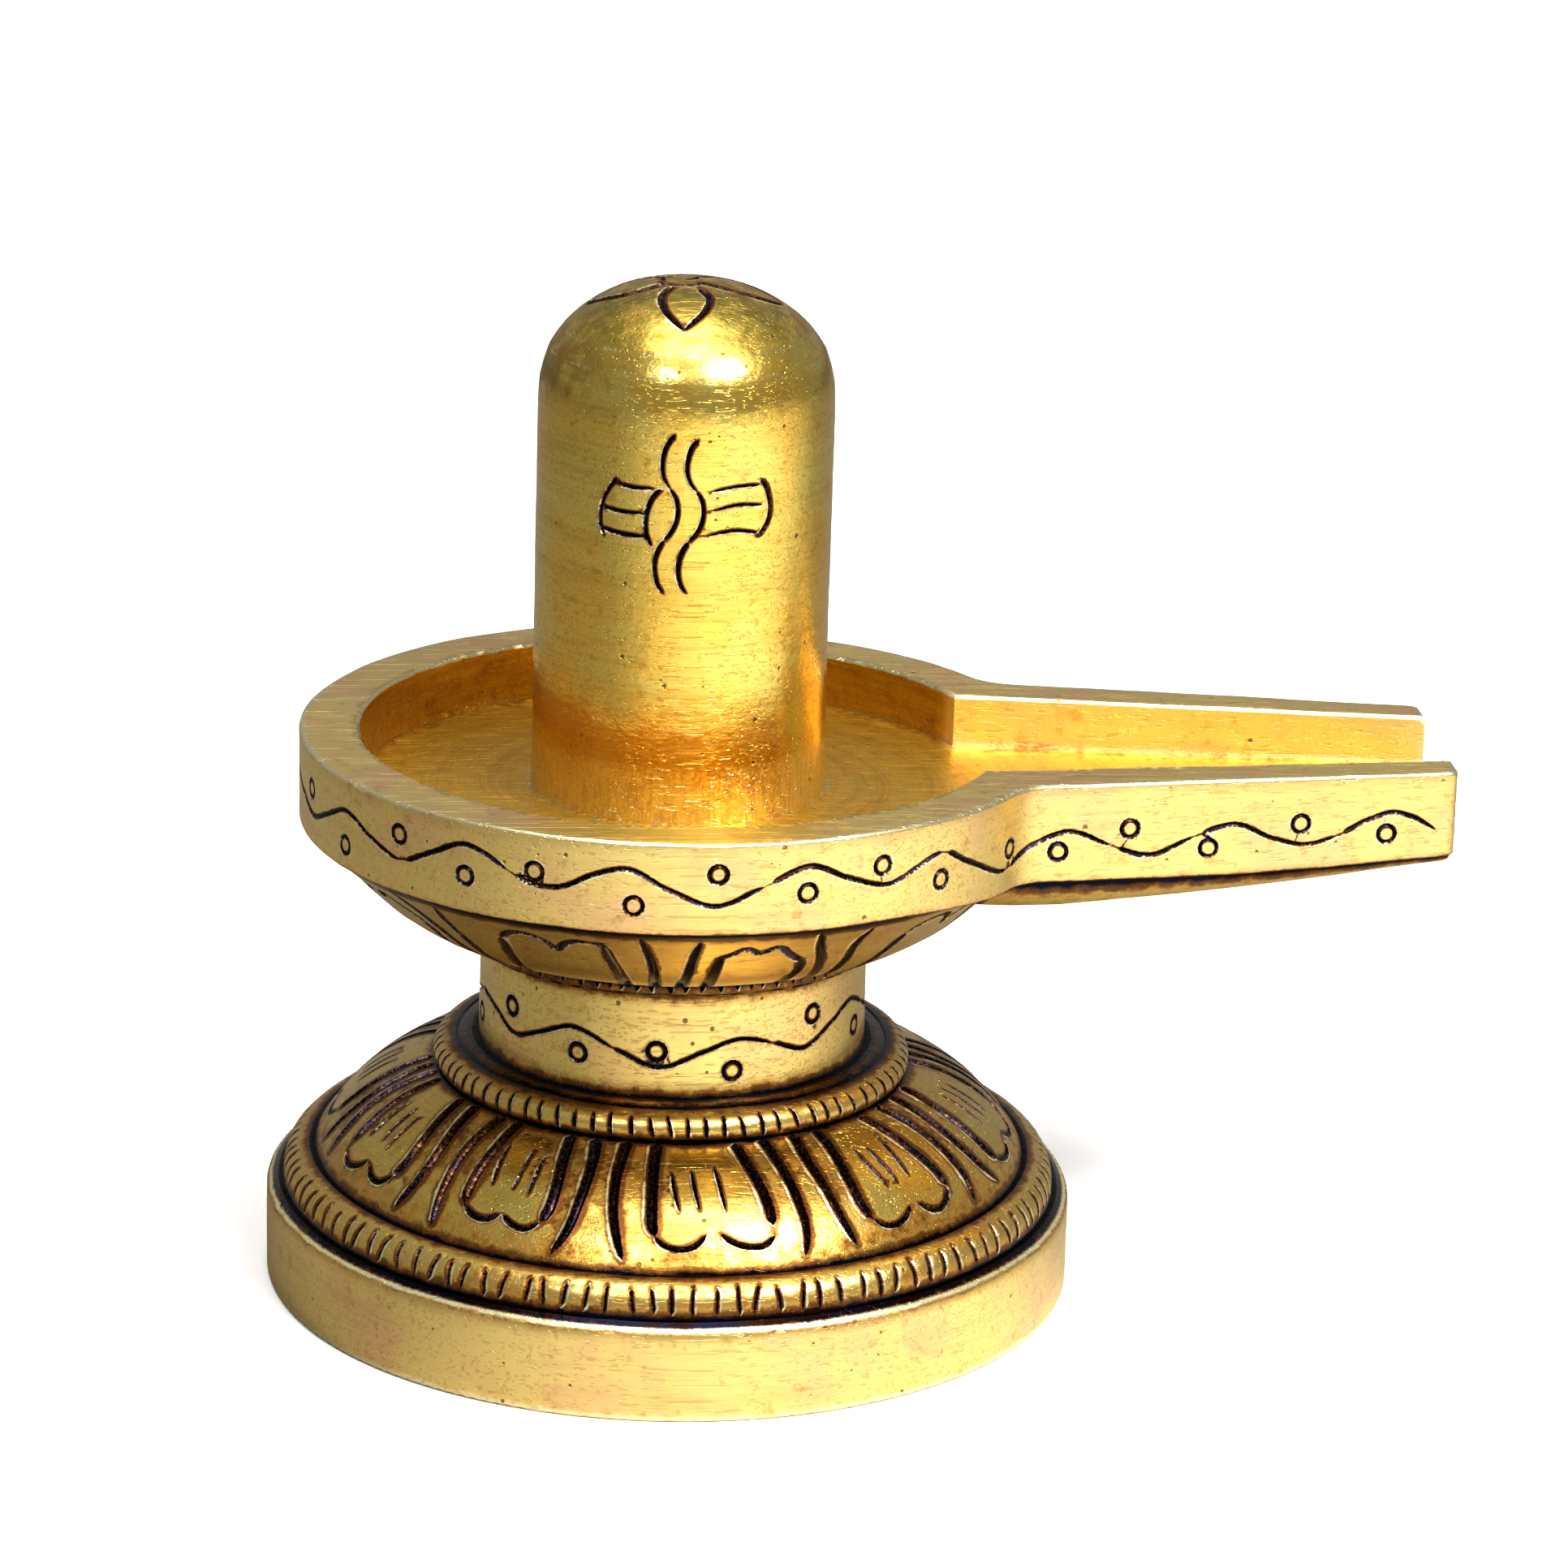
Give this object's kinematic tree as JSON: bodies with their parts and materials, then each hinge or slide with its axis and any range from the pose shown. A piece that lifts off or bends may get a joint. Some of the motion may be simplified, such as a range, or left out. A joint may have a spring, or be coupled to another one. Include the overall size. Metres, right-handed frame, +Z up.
{
  "type": "shiva lingam",
  "caption": "Cast brass shiva lingam in an open-spouted yoni bowl on a necked lotus stand, chased with petals, a waving vine and ringlets.",
  "frame": {"origin": "centre of the round underside, on the surface it stands on", "axes": "+Z up along the turning axis of stand, bowl and lingam; +X along the spout; the chased mark faces -Y"},
  "size_m": [0.121, 0.084, 0.1061],
  "materials": {
    "brass": "brushed yellow brass with dark brown patina left in the chased grooves"
  },
  "bodies": {
    "root": {"shiva_lingam": "brass"}
  },
  "joints": []
}
